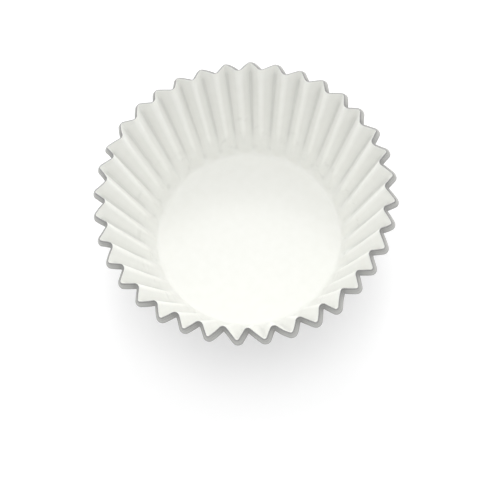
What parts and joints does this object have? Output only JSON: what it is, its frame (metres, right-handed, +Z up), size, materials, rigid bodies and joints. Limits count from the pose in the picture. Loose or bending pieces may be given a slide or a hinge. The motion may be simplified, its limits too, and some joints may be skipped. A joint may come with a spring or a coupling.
{
  "type": "cupcake liner",
  "caption": "Fluted round baking cup with a flat base and flared pleated wall, white paper inside and silver foil outside.",
  "frame": {"origin": "centre of the base's underside, where the liner stands", "axes": "+Z up, out of the open mouth; +X through the middle of one outward fold"},
  "size_m": [0.0772, 0.0772, 0.0305],
  "materials": {
    "foil_paper": "matte white greaseproof paper inside, bright silver foil outside, matte light grey edge band under the rim"
  },
  "bodies": {
    "root": {"liner": "foil_paper"}
  },
  "joints": []
}
